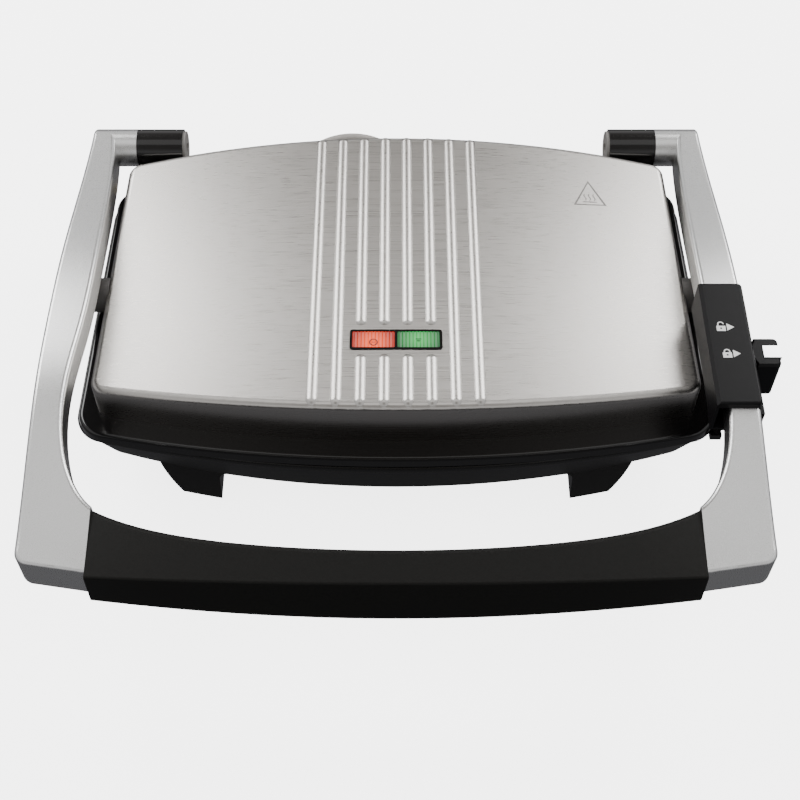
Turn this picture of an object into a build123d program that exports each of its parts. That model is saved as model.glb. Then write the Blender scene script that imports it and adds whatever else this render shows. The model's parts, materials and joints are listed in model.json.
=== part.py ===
from build123d import *
import os
from math import cos, radians, sin, tan

# A closed contact grill: a base with a heated plate, a floating upper plate under a
# brushed lid, and a U-shaped carrying handle that is hinged at the back of the base.
# Millimetres, +Z up, +X right, +Y to the back. The origin is on the table, under the
# middle of the lid, and x = 0 is the plane of symmetry.

# ---------------------------------------------------------------- driving dimensions
# Lid cover, seen from above: bowed front and back edges, slightly narrower at the back
lid_half_front = 160.5
lid_taper = 4.0             # how much nearer the middle each side is at the back
lid_front = -97.5
lid_rear = 98.5
lid_bow = 16.5
lid_corner = 9.0
lid_top = 88.0
lid_sheet = 1.0
lid_edge_round = 4.0
crown_drop = 7.0            # how much lower the lid is at its sides than in the middle
crown_inset = 5.5

# Other outlines, as growth over the lid's at the sides, front and back, then the corner
# radius and the bow of the front edge
bezel_plan = (9.5, 12.0, 0.5, 16.0, 18.0)
rim_plan = (12.5, 12.5, -0.5, 17.0, 22.5)
rim_base_plan = (4.5, 5.5, -7.0, 15.0, 22.5)
tub_foot_plan = (3.5, 7.8, -8.0, 17.0, 26.0)
leg_toe_plan = (3.5, 11.8, -8.0, 17.0, 26.0)
plate_plan = (-10.5, -9.5, -18.5, 14.0, 16.5)

# Heights of the base
leg_height = 24.0
pad_height = 3.0
tub_height = 22.5
rim_height = 3.0            # the glossy band above the tub
rim_depth = 6.5             # how far the rim reaches down inside the tub
rim_round = 1.4
shell_wall = 2.5
seat_height = 2.5           # ledge that a plate's lip stands on
reveal = 1.0                # step between the glossy rim and the satin tub
post_radius = 4.0
vent_count = 9
vent_pitch = 16.0

# Legs, seen from the front: upright inside, curved outside
leg_inner = 97.0
leg_outer = 119.0
leg_shoulder = 130.0
leg_bulge = 1.3
leg_fillet = 5.0
leg_spans = ((-140.0, -72.0), (54.0, 76.0))
pad_inset = 1.5

# Cooking plates
plate_floor = 4.0
plate_lip = 4.0             # width of the raised lip
lower_lip_height = 6.0
upper_lip_height = 5.5
plate_clearance = 0.5
plate_gap = 0.5             # between the two lips when the grill is shut
grill_rib_pitch = 12.0
grill_rib_width = 4.0
grill_rib_height = 2.5

# Lid's upper housing
bezel_gap = 1.5             # between the base's rim and the bezel
bezel_height = 7.0
bezel_round = 2.0
upstand_height = 4.0
upstand_wall = 1.8
cover_fit = 0.3

# Pressed beads in the lid
bead_pitch = 12.4
bead_count = 8
bead_radius = 4.0
bead_height = 1.35
bead_edge_margin = 5.0

# Indicator window
window_width = 49.0
window_depth = 13.3
window_behind_front = 44.1
window_wall = 1.2
window_proud = 0.4
window_fit = 0.15
window_flange = 2.2
window_frame_height = 11.4
lens_thickness = 3.0
lamp_radius = 2.5
window_clear = 3.9          # from the window's edge to the ends of the beads beside it

# Hinge at the back
hinge_behind_lid = 3.5
hinge_below_top = 13.7
knuckle_radius = 11.0
knuckle_round = 2.0
knuckle_length = 26.0
barrel_length = 26.7
hinge_gap = 0.4
hinge_pin_radius = 4.0
pin_fit = 0.02
running_fit = 0.05
hinge_cap_thickness = 1.6
post_bottom = 30.0

# Handle arms and grip
arm_width = 19.5
arm_splay = 1.5             # how much further out the arm is at its front end
arm_front_behind = 98.5     # from the lid's front edge to the handle's front
arm_round = 2.2
arm_corner = 7.0
arm_nose = (9.6, 4.5)       # how far the arm's front face is swept back, outside and inside
grip_inset = 13.5           # from the arm's inner side to the end of the grip
grip_depth_rear = 38.3      # depth of the grip's end
dowel_radius = 3.5
dowel_seat = 16.0
dowel_in_grip = 25.0
dowel_back = 15.0
dowel_drop = 10.5

# Height of an arm above or below the lid's top, by its share of the reach
arm_top_points = [(0.145, 3.6), (0.37, 15.8), (0.52, 19.0), (0.66, 18.4), (0.83, 8.4), (1.0, 0.0)]
arm_low_points = [(0.13, -16.0), (0.26, -8.0), (0.37, -2.0), (0.52, 2.0), (0.66, 1.8),
                  (0.83, -11.0), (0.94, -20.0), (1.0, -22.7)]

# Trunnions that the lid floats on
trunnion_y = -10.0
trunnion_below_top = 16.0
trunnion_radius = 5.0
boss_radius = 9.5
boss_clear = 0.4
lug_radius = 10.0
lug_thickness = 9.0
lug_inset = 2.0             # from the arm's outer side to the lug's outer end
boss_gap = 0.4

# Lock on the right arm
lock_rear = -31.6
lock_front = -108.9
lock_wall = 1.5
lock_fit = 0.2
lock_rise = 20.7            # its level top above the lid's top
lock_standout = 1.3
lock_end_round = 2.5
lock_top_round = 1.3
lock_bevel = 1.7
rail_rise = 4.0
rail_neck = 2.2
rail_head = 4.6
rail_step = 1.8
slide_fit = 0.35
slider_rear = -62.0
slider_front = -80.0
slider_width = 15.2
slider_rise = 13.0
slider_foot = 40.0
knob_height = 25.0
knob_bevel = (3.0, 6.0)
knob_round = 2.5
waist_height = 14.0
waist_inset = 5.0
slider_leg_inset = 11.0
catch_width = 2.0
catch_gap = 0.5
accent_front = -75.0
accent_rear = -67.7
accent_depth = 8.5
accent_drop = 10.0
accent_sheet = 1.6

# Heating elements
element_radius = 3.25
element_bend = 9.0
element_side_inset = 48.5   # from the lid's side
element_front_inset = 39.5
element_rear = 40.0
element_end = (25.0, 62.0)
saddle_half = 7.0
shield_sheet = 0.8
shield_screw_depth = 5.0
shield_post_radius = 4.5
lower_shield_drop = 9.5
upper_shield_rise = 9.0

# Thermostat and fuse on the upper plate
thermostat_y = 18.0
thermostat_radius = 9.5
fuse_radius = 2.0

# Pivot brackets on the upper plate
bracket_inset = 5.0
bracket_sheet = 2.5
bracket_depth = 26.0

# Mains lead
cord_radius = 3.1
coil_x = -29.0
coil_y = 143.0
coil_radius = 31.1          # at the middle of its turns
coil_rows = 2
turn_gap = 0.1
lead_join = 60.0            # degrees round the coil, anticlockwise
tail_join = 150.0
lead_x = 55.5
lead_z = 33.5
relief_end = 114.0
relief_wall_y = 92.0
relief_radius = 5.4
plug_x = -112.0
plug_y = 124.0
plug_z = 9.5

# ---------------------------------------------------------------- derived places
lid_half_rear = lid_half_front - lid_taper
lid_plan = (0.0, 0.0, 0.0, lid_corner, lid_bow)
tub_top = leg_height + tub_height
rim_bottom = tub_top - rim_depth
rim_top = tub_top + rim_height
seat_z = rim_bottom + seat_height
lower_surface = rim_bottom + plate_floor
lower_lip_top = lower_surface + lower_lip_height
upper_lip_bottom = lower_lip_top + plate_gap
upper_surface = upper_lip_bottom + upper_lip_height
upper_top = upper_surface + plate_floor
upper_seat_z = upper_top - seat_height
bezel_bottom = rim_top + bezel_gap
bezel_top = bezel_bottom + bezel_height
skirt_bottom = bezel_top
hinge_y = lid_rear + hinge_behind_lid
hinge_z = lid_top - hinge_below_top
trunnion_z = lid_top - trunnion_below_top
arm_inner = lid_half_front
arm_outer = arm_inner + arm_width
arm_front = lid_front - arm_front_behind
grip_half = arm_inner - grip_inset
dowel_y = arm_front + dowel_back
dowel_z = lid_top - dowel_drop
knuckle_inner = arm_outer - knuckle_length
barrel_outer = knuckle_inner - hinge_gap
barrel_inner = barrel_outer - barrel_length
lug_outer = arm_outer - lug_inset
lug_inner = lug_outer - lug_thickness
boss_inner = lid_half_front - 0.5 * lid_taper - 0.9
bracket_x = lid_half_rear - bracket_inset
crown_half = lid_half_front - crown_inset
crown_radius = (crown_half**2 + crown_drop**2) / (2 * crown_drop)
window_y = lid_front + window_behind_front
window_top = lid_top + window_proud
board_z = window_top - window_frame_height
sleeve_inner = arm_inner - 0.3
sleeve_outer = arm_outer + lock_standout
lock_top = lid_top + lock_rise
rail_z = lid_top + rail_rise
slider_inner = sleeve_outer + slide_fit
slider_outer = slider_inner + slider_width
slider_top = lid_top + slider_rise
knob_bottom = slider_top - knob_height
waist_bottom = knob_bottom - waist_height
catch_outer = lid_half_front + rim_plan[0] + catch_width
element_half = lid_half_front - element_side_inset
element_front = lid_front + element_front_inset
lower_element_z = rim_bottom - element_radius - 0.25
upper_element_z = upper_top + element_radius + 0.25
lower_shield_z = rim_bottom - lower_shield_drop
upper_shield_z = upper_top + upper_shield_rise
outer_turn = coil_radius + cord_radius

# ---------------------------------------------------------------- places of fixings
boss_places = [(lid_half_front - 8.5, 35.0), (lid_half_front - 7.5, -50.0),
               (60.0, lid_front + 3.5)]
boss_places += [(-x, y) for x, y in boss_places]
saddle_places = [(-element_half, -5), (element_half, -5), (-55, element_front),
                 (55, element_front), (-70, element_rear), (70, element_rear)]
shield_posts = [(-60, -22), (60, -22), (-60, 10), (60, 10)]
bracket_screws_at = [(bracket_x - 17, trunnion_y - 7), (bracket_x - 17, trunnion_y + 7)]
bracket_screws_at += [(-x, y) for x, y in bracket_screws_at]

os.makedirs("parts", exist_ok=True)
written = []


def save(name, shape):
    export_step(shape, f"parts/{name}.step")
    written.append(name)
    print(f"{name}: {len(shape.solids())} solid(s), {shape.volume / 1000:.2f} cm3")


# ---------------------------------------------------------------- shapes used often
def outline(plan, inset=0.0):
    side, front, rear, corner = (value - inset for value in plan[:4])
    bow = plan[4]
    half_front, half_rear = lid_half_front + side, lid_half_rear + side
    near, far = lid_front - front, lid_rear + rear
    front_left, front_right = (-half_front, near + bow), (half_front, near + bow)
    rear_left, rear_right = (-half_rear, far - lid_bow), (half_rear, far - lid_bow)
    edges = [
        ThreePointArc(front_left, (0, near), front_right),
        Line(front_right, rear_right),
        ThreePointArc(rear_right, (0, far), rear_left),
        Line(rear_left, front_left),
    ]
    face = make_face(edges)
    return fillet(face.vertices(), max(corner, 1.5))


def slab(plan, inset, z_low, z_high):
    return extrude(Pos(0, 0, z_low) * outline(plan, inset), z_high - z_low)


def taper(plan_low, inset_low, z_low, plan_high, inset_high, z_high):
    low = Pos(0, 0, z_low) * outline(plan_low, inset_low)
    high = Pos(0, 0, z_high) * outline(plan_high, inset_high)
    return loft([low, high], ruled=True)


def rod_x(x_low, x_high, y, z, radius):
    return Pos((x_low + x_high) / 2, y, z) * Rot(0, 90, 0) * Cylinder(radius, x_high - x_low)


def rod_y(y_low, y_high, x, z, radius):
    return Pos(x, (y_low + y_high) / 2, z) * Rot(90, 0, 0) * Cylinder(radius, y_high - y_low)


def rod_z(z_low, z_high, x, y, radius):
    return Pos(x, y, (z_low + z_high) / 2) * Cylinder(radius, z_high - z_low)


def block(x_low, x_high, y_low, y_high, z_low, z_high):
    centre = Pos((x_low + x_high) / 2, (y_low + y_high) / 2, (z_low + z_high) / 2)
    return centre * Box(x_high - x_low, y_high - y_low, z_high - z_low)


def group(solids):
    return Compound(children=[Part(solid.wrapped) for solid in solids])


def screw(x, y, head_z, tip_z, head_radius, shank_radius, head_height):
    # A pan-head screw that points from head_z to tip_z, up or down
    step = head_height if tip_z < head_z else -head_height
    head = rod_z(min(head_z, head_z + step), max(head_z, head_z + step), x, y, head_radius)
    shank = rod_z(min(head_z, tip_z), max(head_z, tip_z), x, y, shank_radius)
    far_z = head_z + step
    slot = block(x - head_radius, x + head_radius, y - 0.5, y + 0.5, far_z - 0.7, far_z + 0.7)
    return (head + shank) - slot


def mirrored(shape):
    return mirror(shape, about=Plane.YZ)


def crown(drop):
    # Everything under the lid's crowned top, lowered by drop
    half = lid_half_front + 30
    fall = crown_radius - (crown_radius**2 - half**2) ** 0.5
    top = lid_top - drop
    edges = [
        ThreePointArc((-half, top - fall), (0, top), (half, top - fall)),
        Line((half, top - fall), (half, 0)),
        Line((half, 0), (-half, 0)),
        Line((-half, 0), (-half, top - fall)),
    ]
    face = Plane.XZ * make_face(edges)
    return extrude(face, 300, both=True)


def crown_z(x):
    return lid_top - (crown_radius - (crown_radius**2 - x**2) ** 0.5)


def lid_edge(x, far):
    # y of the lid's bowed front or back edge at x
    half = lid_half_rear if far else lid_half_front
    bow = lid_bow * (x / half) ** 2
    return lid_rear - bow if far else lid_front + bow


def beads(drop):
    # The pressed beads, lowered by drop so that they also shape the sheet's inside
    rods = []
    depth = bead_radius - bead_height + drop
    for number in range(bead_count):
        x = (number - (bead_count - 1) / 2) * bead_pitch
        z = crown_z(x) - depth
        near, far = lid_edge(x, False) + bead_edge_margin, lid_edge(x, True) - bead_edge_margin
        spans = [(near, far)]
        if abs(x) < window_width / 2:
            half = window_depth / 2 + window_clear + bead_radius * 0.5
            spans = [(near, window_y - half), (window_y + half, far)]
        for low, high in spans:
            rods.append(rod_y(low, high, x, z, bead_radius))
            rods.append(Pos(x, low, z) * Sphere(bead_radius))
            rods.append(Pos(x, high, z) * Sphere(bead_radius))
    return rods


def rounded_box(width, depth, z_low, z_high, radius, x=0.0, y=0.0):
    return extrude(Pos(x, y, z_low) * RectangleRounded(width, depth, radius), z_high - z_low)


# ---------------------------------------------------------------- base
def leg_profile():
    # Front view of the right-hand leg, flaring into the tub at both sides
    reach = 0.7071 * leg_fillet
    middle = ((leg_outer + leg_shoulder) / 2 + leg_bulge, (pad_height + leg_height) / 2)
    edges = [
        Line((leg_inner, pad_height), (leg_outer, pad_height)),
        ThreePointArc((leg_outer, pad_height), middle, (leg_shoulder, leg_height)),
        Line((leg_shoulder, leg_height), (leg_inner - leg_fillet, leg_height)),
        ThreePointArc(
            (leg_inner - leg_fillet, leg_height),
            (leg_inner - leg_fillet + reach, leg_height - leg_fillet + reach),
            (leg_inner, leg_height - leg_fillet),
        ),
        Line((leg_inner, leg_height - leg_fillet), (leg_inner, pad_height)),
    ]
    return Plane.XZ * make_face(edges)


def support_legs():
    solids = []
    inside = taper(leg_toe_plan, 0.0, 0, tub_foot_plan, 0.0, leg_height)
    for low, high in leg_spans:
        leg = Pos(0, high, 0) * extrude(leg_profile(), high - low)
        leg = leg & inside
        solids += [leg.solid(), mirrored(leg).solid()]
    return group(solids)


def foot_pads():
    solids = []
    inside = slab(leg_toe_plan, 2 * pad_inset, 0, pad_height)
    for low, high in leg_spans:
        pad = block(leg_inner + pad_inset, leg_outer - pad_inset, low + pad_inset,
                    high - pad_inset, 0, pad_height)
        pad = pad & inside
        solids += [pad.solid(), mirrored(pad).solid()]
    return group(solids)


def tub_body():
    return taper(tub_foot_plan, 0.0, leg_height, rim_plan, reveal, tub_top)


def base_tub():
    hollow = taper(
        tub_foot_plan, shell_wall, leg_height + shell_wall,
        rim_plan, reveal + shell_wall, tub_top + 0.01,
    )
    tub = tub_body() - hollow
    for x, y in boss_places:
        tub += rod_z(leg_height + 1, rim_bottom, x, y, post_radius)
    for x, y in boss_places:
        tub -= rod_z(leg_height - 1, rim_bottom + 1, x, y, 2.05)
        tub -= rod_z(leg_height - 1, leg_height + 6, x, y, post_radius - 0.6)
    for column in range(vent_count):
        x = (column - (vent_count - 1) / 2) * vent_pitch
        tub -= block(x - 2, x + 2, -30, 20, leg_height - 1, leg_height + shell_wall + 1)
    return tub - rod_y(70, 120, lead_x, lead_z, relief_radius + pin_fit)


def base_rim():
    # A glossy band on the tub's edge, with a body inside the tub that holds the plate
    rim = slab(rim_plan, 0.0, tub_top, rim_top)
    rim = fillet(rim.faces().sort_by(Axis.Z)[-1].edges(), rim_round)
    rim += slab(rim_base_plan, 0.0, rim_bottom, tub_top + 1)
    rim -= slab(plate_plan, -plate_clearance, seat_z, rim_top + 1)
    rim -= slab(plate_plan, plate_lip + plate_clearance, rim_bottom - 1, rim_top + 1)
    for x, y in boss_places:
        rim -= rod_z(rim_bottom - 1, rim_bottom + 7, x, y, 2.0)
    return rim


def around_base():
    # The base's solid outside, to shape what is joined to it
    return slab(rim_plan, 0.0, tub_top, rim_top) + tub_body()


def base_screws():
    return group([screw(x, y, leg_height + 6, rim_bottom + 6.5, 3.3, 1.95, 2.4).solid()
                  for x, y in boss_places])


def hinge_post():
    y, z, r = hinge_y, hinge_z, knuckle_radius
    side = [
        (y - r, z), (y - r, rim_top - 2), (y - 26, rim_top - 2), (y - 26, post_bottom),
        (y - 6, post_bottom), (y + r - 1, rim_top + 4), (y + r, z),
    ]
    face = Plane.YZ * (make_face(Polyline(*side, close=True)) + Pos(y, z) * Circle(r))
    post = Pos(barrel_inner, 0, 0) * extrude(face, barrel_length)
    post = post - around_base()
    bore = rod_x(barrel_inner + 5, barrel_outer + 1, y, z, hinge_pin_radius + pin_fit)
    return (post - bore).solid()


def hinge_pin():
    pin = rod_x(barrel_inner + 5.2, arm_outer - 6, hinge_y, hinge_z, hinge_pin_radius)
    return chamfer(pin.edges().filter_by(GeomType.CIRCLE), 0.5)


def hinge_cap():
    cap = rod_x(barrel_inner - hinge_cap_thickness, barrel_inner, hinge_y, hinge_z,
                knuckle_radius - 1.2)
    return cap - rod_x(barrel_inner - 3, barrel_inner - 0.8, hinge_y, hinge_z, 3.0)


def element_route(z):
    end_x, end_y = element_end
    half, near, far = element_half, element_front, element_rear
    points = [
        (-end_x, end_y, z), (-end_x, far, z), (-half, far, z), (-half, near, z),
        (half, near, z), (half, far, z), (end_x, far, z), (end_x, end_y, z),
    ]
    return FilletPolyline(*points, radius=element_bend)


def element(z, radius):
    route = element_route(z)
    return sweep(Plane(origin=route @ 0, z_dir=route % 0) * Circle(radius), path=route)


def plate(surface_z, back_z, lip_z, seat):
    # A cast plate: the floor steps in behind its lip so that it drops into its seat
    step_z = seat
    floor = slab(plate_plan, plate_lip + 2 * plate_clearance, min(back_z, step_z),
                 max(back_z, step_z))
    floor += slab(plate_plan, 0.0, min(step_z, surface_z), max(step_z, surface_z))
    lip = slab(plate_plan, 0.0, min(step_z, lip_z), max(step_z, lip_z))
    lip -= slab(plate_plan, plate_lip, min(step_z, lip_z) - 1, max(step_z, lip_z) + 1)
    return floor + lip


def lower_plate():
    body = plate(lower_surface, rim_bottom, lower_lip_top, seat_z)
    for x, y in saddle_places:
        body += block(x - saddle_half, x + saddle_half, y - saddle_half, y + saddle_half,
                      lower_element_z, rim_bottom + 0.5)
    for x, y in shield_posts:
        body += rod_z(lower_shield_z, rim_bottom + 0.5, x, y, shield_post_radius)
        body -= rod_z(lower_shield_z - 1, lower_shield_z + shield_screw_depth, x, y, 2.0)
    return body - element(lower_element_z, element_radius + running_fit)


def lower_heat_shield():
    rear_cut = block(-300, 300, 52, 200, 0, 100)
    pan = slab(plate_plan, 12.0, lower_shield_z - shield_sheet, rim_bottom - 2)
    pan -= slab(plate_plan, 12.0 + shield_sheet, lower_shield_z, rim_bottom)
    pan -= rear_cut
    for x, y in shield_posts:
        pan -= rod_z(lower_shield_z - 2, lower_shield_z + 1, x, y, 2.2)
    return pan


def shield_screws(z, upward):
    way = 1 if upward else -1
    return group([
        screw(x, y, z, z + way * (shield_sheet + shield_screw_depth - 0.5), 3.4, 1.95, 1.8).solid()
        for x, y in shield_posts
    ])


def terminal_block():
    floor_z = leg_height + shell_wall
    body = block(-21, 21, 66, 78, floor_z, floor_z + 9)
    for number in range(3):
        x = (number - 1) * 13.0
        body -= rod_y(60, 90, x, floor_z + 4.5, 1.8)
        body -= rod_z(floor_z + 5, floor_z + 10, x, 72, 2.2)
    return body


def strain_relief():
    wall_y = relief_wall_y
    flange = rod_y(wall_y - 8.8, wall_y - 6.8, lead_x, lead_z, relief_radius + 0.9)
    neck = rod_y(wall_y - 7, wall_y + 6, lead_x, lead_z, relief_radius)
    length = relief_end - wall_y - 5
    sleeve = Pos(lead_x, wall_y + 5 + length / 2, lead_z) * Rot(-90, 0, 0) * Cone(
        relief_radius, cord_radius + 0.9, length)
    return flange + neck + sleeve


def lock_catch():
    # A ledge on the right side of the rim that the lock's foot stands beside
    x = catch_outer
    ledge = block(x - 6, x, slider_front - 8, slider_rear + 4, slider_foot + 4.4, rim_top - 1)
    return (ledge - around_base()).solids().sort_by(Axis.X)[-1]


# ---------------------------------------------------------------- handle
def arm_side(grow=0.0):
    # Side view of an arm: an arch from the hinge up over the lid and down to the grip
    reach = arm_front - hinge_y
    r = knuckle_radius
    top = [(hinge_y, hinge_z + r + grow)]
    top += [(hinge_y + share * reach, lid_top + rise + grow) for share, rise in arm_top_points]
    low = [(hinge_y, hinge_z - r - grow)]
    low += [(hinge_y + share * reach, lid_top + rise - grow) for share, rise in arm_low_points]
    upper, lower = Spline(*top), Spline(*low)
    past = arm_front - 6
    ends = [
        Polyline(upper @ 1, (past, (upper @ 1).Y), (past, (lower @ 1).Y), lower @ 1),
        Line(lower @ 0, upper @ 0),
    ]
    return Plane.YZ * make_face([upper, lower] + ends)


def arm_plan():
    # Seen from above: straight outside, waisted inside, and flared in to meet the grip
    outer_rear = (arm_outer, hinge_y + knuckle_radius + 1)
    outer_front = (arm_outer + arm_splay, arm_front + arm_nose[0])
    inner_front = (grip_half, arm_front + arm_nose[1])
    inner = Spline(
        (grip_half, arm_front + grip_depth_rear),
        (grip_half + 5.5, arm_front + grip_depth_rear + 5.5), (arm_inner - 2.0, arm_front + 54.0),
        (arm_inner + 3.2, arm_front + 72.0), (arm_inner + 1.2, lid_front + 40),
        (arm_inner, trunnion_y), (arm_inner + 1.5, 40), (arm_inner + 4.0, 80),
        (arm_inner + 6.5, hinge_y),
    )
    inner_rear = (arm_inner + 6.5, hinge_y + knuckle_radius + 1)
    edges = [
        Line(outer_rear, outer_front),
        Line(outer_front, inner_front),
        Line(inner_front, inner @ 0),
        inner,
        Line(inner @ 1, inner_rear),
        Line(inner_rear, outer_rear),
    ]
    face = make_face(edges)
    corner = face.vertices().sort_by_distance(outer_front)[0]
    return fillet(corner, arm_corner)


def bare_arm():
    side = Pos(grip_half - 1, 0, 0) * extrude(arm_side(), 60)
    body = side & extrude(arm_plan(), 200)
    long_edges = [e for e in body.edges() if e.length > 60]
    return fillet(long_edges, arm_round)


def arm():
    knuckle = rod_x(knuckle_inner, arm_outer, hinge_y, hinge_z, knuckle_radius)
    outer_edge = knuckle.edges().filter_by(GeomType.CIRCLE).sort_by(Axis.X)[-1]
    body = bare_arm() + fillet(outer_edge, knuckle_round)
    lug = rod_x(lug_inner, lug_outer, trunnion_y, trunnion_z, lug_radius)
    lug += block(lug_inner, lug_outer, trunnion_y - lug_radius, trunnion_y + lug_radius,
                 trunnion_z, lid_top + 4)
    body += lug
    body -= rod_x(lug_inner - 1, lug_outer - 1.5, trunnion_y, trunnion_z,
                  trunnion_radius + running_fit)
    body -= rod_x(knuckle_inner - 1, arm_outer - 5.5, hinge_y, hinge_z,
                  hinge_pin_radius + running_fit)
    return body - rod_x(grip_half - 1, grip_half + dowel_seat + 0.4, dowel_y, dowel_z,
                        dowel_radius + pin_fit)


def grip_section(x):
    share = (x / grip_half) ** 2
    back = arm_front + 16.8 + 13.5 * share + 8.0 * share**3
    crease = arm_front - 1.6 + 3.2 * share
    nose = arm_front - 10.5 + 10.7 * share
    points = [
        (back, lid_top + 3.0 + 0.6 * share), (crease, lid_top),
        (nose, lid_top - 27.0 + 2.0 * share), (back - 3.5, lid_top - 23.5 + 4.5 * share),
    ]
    face = make_face(Polyline(*points, close=True))
    for (y, z), radius in zip(points, (3.0, 1.4, 4.5, 6.0)):
        corner = face.vertices().sort_by_distance((y, z))[0]
        face = fillet(corner, radius)
    return Pos(x, 0, 0) * (Plane.YZ * face)


def grip():
    body = loft([grip_section(step / 4 * grip_half) for step in range(-4, 5)])
    for side in (-1, 1):
        inner, outer = side * (grip_half - dowel_in_grip - 0.4), side * (grip_half + 1)
        body -= rod_x(min(inner, outer), max(inner, outer), dowel_y, dowel_z,
                      dowel_radius + pin_fit)
    return body


def grip_dowels():
    dowel = rod_x(grip_half - dowel_in_grip, grip_half + dowel_seat, dowel_y, dowel_z,
                  dowel_radius)
    return group([dowel.solid(), mirrored(dowel).solid()])


# ---------------------------------------------------------------- lock
def rail(grow):
    # A T-shaped rail along the sleeve's outer side, or the slot for it when grown
    x = sleeve_outer
    low, high = (lock_front + 2, lock_rear - 4) if grow == 0 else (-300, 300)
    neck = block(x - 0.5, x + rail_step + grow, low, high, rail_z - rail_neck - grow,
                 rail_z + rail_neck + grow)
    head = block(x + rail_step - grow, x + 2 * rail_step + grow, low, high,
                 rail_z - rail_head - grow, rail_z + rail_head + grow)
    return neck + head


def lock_recess():
    # Lets the sleeve's outer wall lie almost flush with the arm
    return block(sleeve_outer - lock_wall - lock_fit, sleeve_outer + 5, lock_front - 0.3,
                 lock_rear + 0.3, lid_top - 20, lock_top)


def lock_housing():
    # A sleeve round the arm with a level top, rounded ends and a bevelled inner edge
    x_low = sleeve_inner - lock_wall
    span = block(x_low, sleeve_outer, lock_front, lock_rear, lid_top - 20, lock_top)
    ends = [e for e in span.edges().filter_by(Axis.Z) if e.center().X > sleeve_outer - 0.1]
    span = fillet(ends, lock_end_round)
    top = span.edges().filter_by(Axis.Y).group_by(Axis.Z)[-1].sort_by(Axis.X)
    span = chamfer(top[0], lock_bevel)
    top = [e for e in span.edges() if e.center().Z > lock_top - 0.01 and e.center().X > x_low + 4]
    span = fillet([e for e in top if e.center().X > sleeve_outer - 2.5], lock_top_round)
    shell = Pos(x_low, 0, 0) * extrude(arm_side(lock_wall + lock_fit), sleeve_outer - x_low)
    shell += block(x_low, sleeve_outer, lock_front, lock_rear, lock_top - 12, lock_top + 1)
    inner = Pos(sleeve_inner, 0, 0) * extrude(
        arm_side(lock_fit), sleeve_outer - lock_wall - sleeve_inner)
    return ((shell & span) - inner) + rail(0)


def lock_slider():
    # An octagonal knob on the rail, a narrower waist, and a leg with its foot at the catch
    x_in, x_out = slider_inner, slider_outer
    bevel_x, bevel_y = knob_bevel
    points = [
        (x_in, slider_front + bevel_y), (x_in + bevel_x, slider_front), (x_out, slider_front),
        (x_out, slider_rear), (x_in + bevel_x, slider_rear), (x_in, slider_rear - bevel_y),
    ]
    face = make_face(Polyline(*points, close=True))
    face = fillet([v for v in face.vertices() if v.X > x_out - 0.1], knob_round)
    knob = extrude(Pos(0, 0, knob_bottom) * face, knob_height)
    knob = chamfer(knob.faces().sort_by(Axis.Z)[-1].edges(), 1.2)
    near, far = slider_front + 1, slider_rear - 2
    waist = block(x_in, x_out - waist_inset, near, far, waist_bottom, knob_bottom + 1)
    leg = block(catch_outer + catch_gap, x_out - slider_leg_inset, near, far, slider_foot,
                waist_bottom + 1)
    return knob + waist + leg - rail(slide_fit) - accent_shape()


def accent_shape():
    # A bent strip let into the knob's top and outer face
    x = slider_outer
    whole = block(x - accent_depth, x + 0.5, accent_front, accent_rear,
                  slider_top - accent_drop, slider_top + 0.5)
    core = block(x - accent_depth - 0.5, x - accent_sheet, accent_front - 1, accent_rear + 1,
                 slider_top - accent_drop - 1, slider_top - accent_sheet)
    return whole - core


# ---------------------------------------------------------------- lid
def trunnion_notch():
    # Clears the boss in the cover's skirt
    x, width = boss_inner - boss_clear, boss_radius + boss_clear
    tool = rod_x(x, lid_half_front + 5, trunnion_y, trunnion_z, width)
    tool += block(x, lid_half_front + 5, trunnion_y - width, trunnion_y + width,
                  skirt_bottom + 2, trunnion_z)
    return tool + mirrored(tool)


def cover_solid(inset, beads_list):
    body = slab(lid_plan, inset, skirt_bottom - (1 if inset else 0), lid_top + 20)
    body = body & crown(inset)
    side_top = [e for e in body.edges() if e.center().Z > lid_top - 12]
    body = fillet(side_top, lid_edge_round - inset)
    return body + beads_list


def lid_cover():
    outer = cover_solid(0.0, beads(0.0))
    inner = cover_solid(lid_sheet, beads(lid_sheet))
    body = outer - inner
    body -= rounded_box(window_width, window_depth, lid_top - 20, lid_top + 20, 1.6, 0, window_y)
    return body - trunnion_notch()


def lid_bezel():
    ring = slab(bezel_plan, 0.0, bezel_bottom, bezel_top)
    ring = fillet(ring.faces().sort_by(Axis.Z)[-1].edges(), bezel_round)
    inset = lid_sheet + cover_fit
    ring += slab(lid_plan, inset, bezel_top - 1, upper_top)
    ring += slab(lid_plan, inset, upper_top - 1, upper_top + upstand_height) - slab(
        lid_plan, inset + upstand_wall, upper_top, upper_top + upstand_height + 1)
    ring -= slab(plate_plan, -plate_clearance, bezel_bottom - 1, upper_seat_z)
    ring -= slab(plate_plan, plate_lip + plate_clearance, bezel_bottom - 1, upper_top + 1)
    for x, y in lid_screw_places:
        ring -= rod_z(upper_seat_z - 1, upper_top + 1, x, y, 1.7)
    return ring


def lip_middle(y):
    # x of the middle of the plates' lip along their slightly slanted right side
    near = lid_front - plate_plan[1] + lid_bow
    far = lid_rear + plate_plan[2] - lid_bow
    share = (y - near) / (far - near)
    return (lid_half_front + share * (lid_half_rear - lid_half_front) + plate_plan[0]
            - plate_lip / 2)


lid_screw_places = [(lip_middle(y), y) for y in (-45.0, 35.0)]
lid_screw_places += [(-x, y) for x, y in lid_screw_places]


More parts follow.
